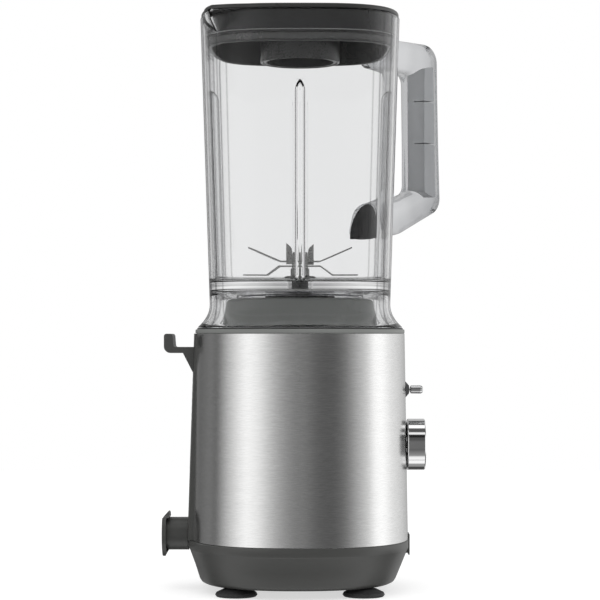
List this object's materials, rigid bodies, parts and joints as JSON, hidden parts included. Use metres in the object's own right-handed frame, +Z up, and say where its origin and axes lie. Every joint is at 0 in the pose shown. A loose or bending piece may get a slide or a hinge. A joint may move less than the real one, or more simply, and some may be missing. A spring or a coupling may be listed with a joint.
{
  "type": "countertop blender",
  "caption": "Countertop blender: square clear jug with inner ribs, corner handle, stacked blades, lid and filler cap on a steel-sleeved motor base with a knob and a lever.",
  "frame": {"origin": "on the drive axis, at the level of the counter that the feet stand on", "axes": "+Z up along the drive axis; +X out of the face that carries the controls; +Y away from the viewer; the handle is over the +X+Y corner and the spout over the -X-Y corner"},
  "size_m": [0.2199, 0.1973, 0.4414],
  "materials": {
    "sleeve_steel": "polished sheet with fine level brushing",
    "grey_plastic": "satin moulded plastic with a fine grain",
    "dark_plastic": "dull moulded plastic",
    "lid_plastic": "smooth satin moulding",
    "black_rubber": "matt rubber",
    "foot_rubber": "matt rubber, slightly dusty",
    "seal_rubber": "soft matt seal",
    "coupling_rubber": "hard rubber",
    "control_chrome": "bright plated",
    "clear_plastic": "clear, polished, faint mould marks",
    "grip_grey": "satin insert inside the clear grip",
    "blade_steel": "ground stainless steel",
    "bearing_steel": "turned steel",
    "screw_steel": "zinc plated",
    "cast_aluminium": "as cast",
    "lamination_iron": "stacked sheet with a thin varnish",
    "copper_wire": "enamelled winding wire",
    "brass_parts": "stamped and turned metal",
    "carbon": "pressed carbon",
    "board_green": "lacquered board"
  },
  "bodies": {
    "root": {"steel_shell": "sleeve_steel", "top_deck": "grey_plastic", "seat_ring": "black_rubber", "chassis": "grey_plastic", "back_panel": "grey_plastic", "cord_hook": "grey_plastic", "cord_post": "grey_plastic", "post_plate": "grey_plastic", "cord_gland": "dark_plastic", "suction_feet": "foot_rubber", "base_screws": "screw_steel", "control_bracket": "dark_plastic", "speed_switch": "dark_plastic", "toggle_switch": "dark_plastic", "toggle_boot": "black_rubber", "switch_nuts": "screw_steel", "control_board": "board_green", "board_screws": "screw_steel", "motor_mounts": "black_rubber", "mount_screws": "screw_steel", "upper_bracket": "cast_aluminium", "lower_bracket": "cast_aluminium", "bracket_bolts": "screw_steel", "stator_core": "lamination_iron", "field_coils": "copper_wire", "upper_bearing": "bearing_steel", "lower_bearing": "bearing_steel", "brush_holders": "brass_parts", "carbon_brushes": "carbon", "brush_springs": "screw_steel", "air_shroud": "dark_plastic"},
    "rotor": {"motor_shaft": "bearing_steel", "armature_core": "lamination_iron", "armature_windings": "copper_wire", "commutator": "brass_parts", "cooling_fan": "dark_plastic", "drive_coupling": "coupling_rubber"},
    "knob": {"knob": "control_chrome", "knob_spindle": "screw_steel"},
    "toggle": {"toggle_lever": "control_chrome"},
    "jug": {"jug": "clear_plastic", "jug_handle": "clear_plastic", "handle_core": "grip_grey", "arm_plug": "dark_plastic", "blade_housing": "blade_steel", "housing_gasket": "black_rubber", "ring_nut": "dark_plastic", "blade_bushes": "brass_parts", "shaft_seal": "black_rubber"},
    "blades": {"blade_shaft": "blade_steel", "lower_blade": "blade_steel", "upright_blade": "blade_steel", "upper_blade": "blade_steel", "blade_washers": "screw_steel", "blade_nut": "blade_steel", "jug_coupling": "coupling_rubber"},
    "lid": {"lid": "lid_plastic", "lid_seals": "seal_rubber"},
    "cap": {"filler_cap": "lid_plastic", "cap_seal": "seal_rubber"}
  },
  "joints": [
    {"name": "rotor_spin", "type": "hinge", "parent": "root", "child": "rotor", "pos_m": [0, 0, 0.125], "axis": [0, 0, 1], "continuous": true},
    {"name": "jug_lift", "type": "slide", "parent": "root", "child": "jug", "axis": [0, 0, 1], "range_m": [0, 0.08]},
    {"name": "blade_spin", "type": "hinge", "parent": "jug", "child": "blades", "pos_m": [0, 0, 0.24], "axis": [0, 0, 1], "continuous": true},
    {"name": "lid_lift", "type": "slide", "parent": "jug", "child": "lid", "axis": [0, 0, 1], "range_m": [0, 0.05]},
    {"name": "cap_lift", "type": "slide", "parent": "lid", "child": "cap", "axis": [0, 0, 1], "range_m": [0, 0.05]},
    {"name": "knob_turn", "type": "hinge", "parent": "root", "child": "knob", "pos_m": [0.09, 0, 0.1106], "axis": [-1, 0, 0], "range_deg": [0, 270]},
    {"name": "toggle_tilt", "type": "hinge", "parent": "root", "child": "toggle", "pos_m": [0.0795, 0, 0.1529], "axis": [0, 1, 0], "range_deg": [-10, 10], "stiffness_Nm_per_rad": 0.15}
  ],
  "couplings": [
    {"joint": "blade_spin", "follows": "rotor_spin", "ratio": 1}
  ]
}
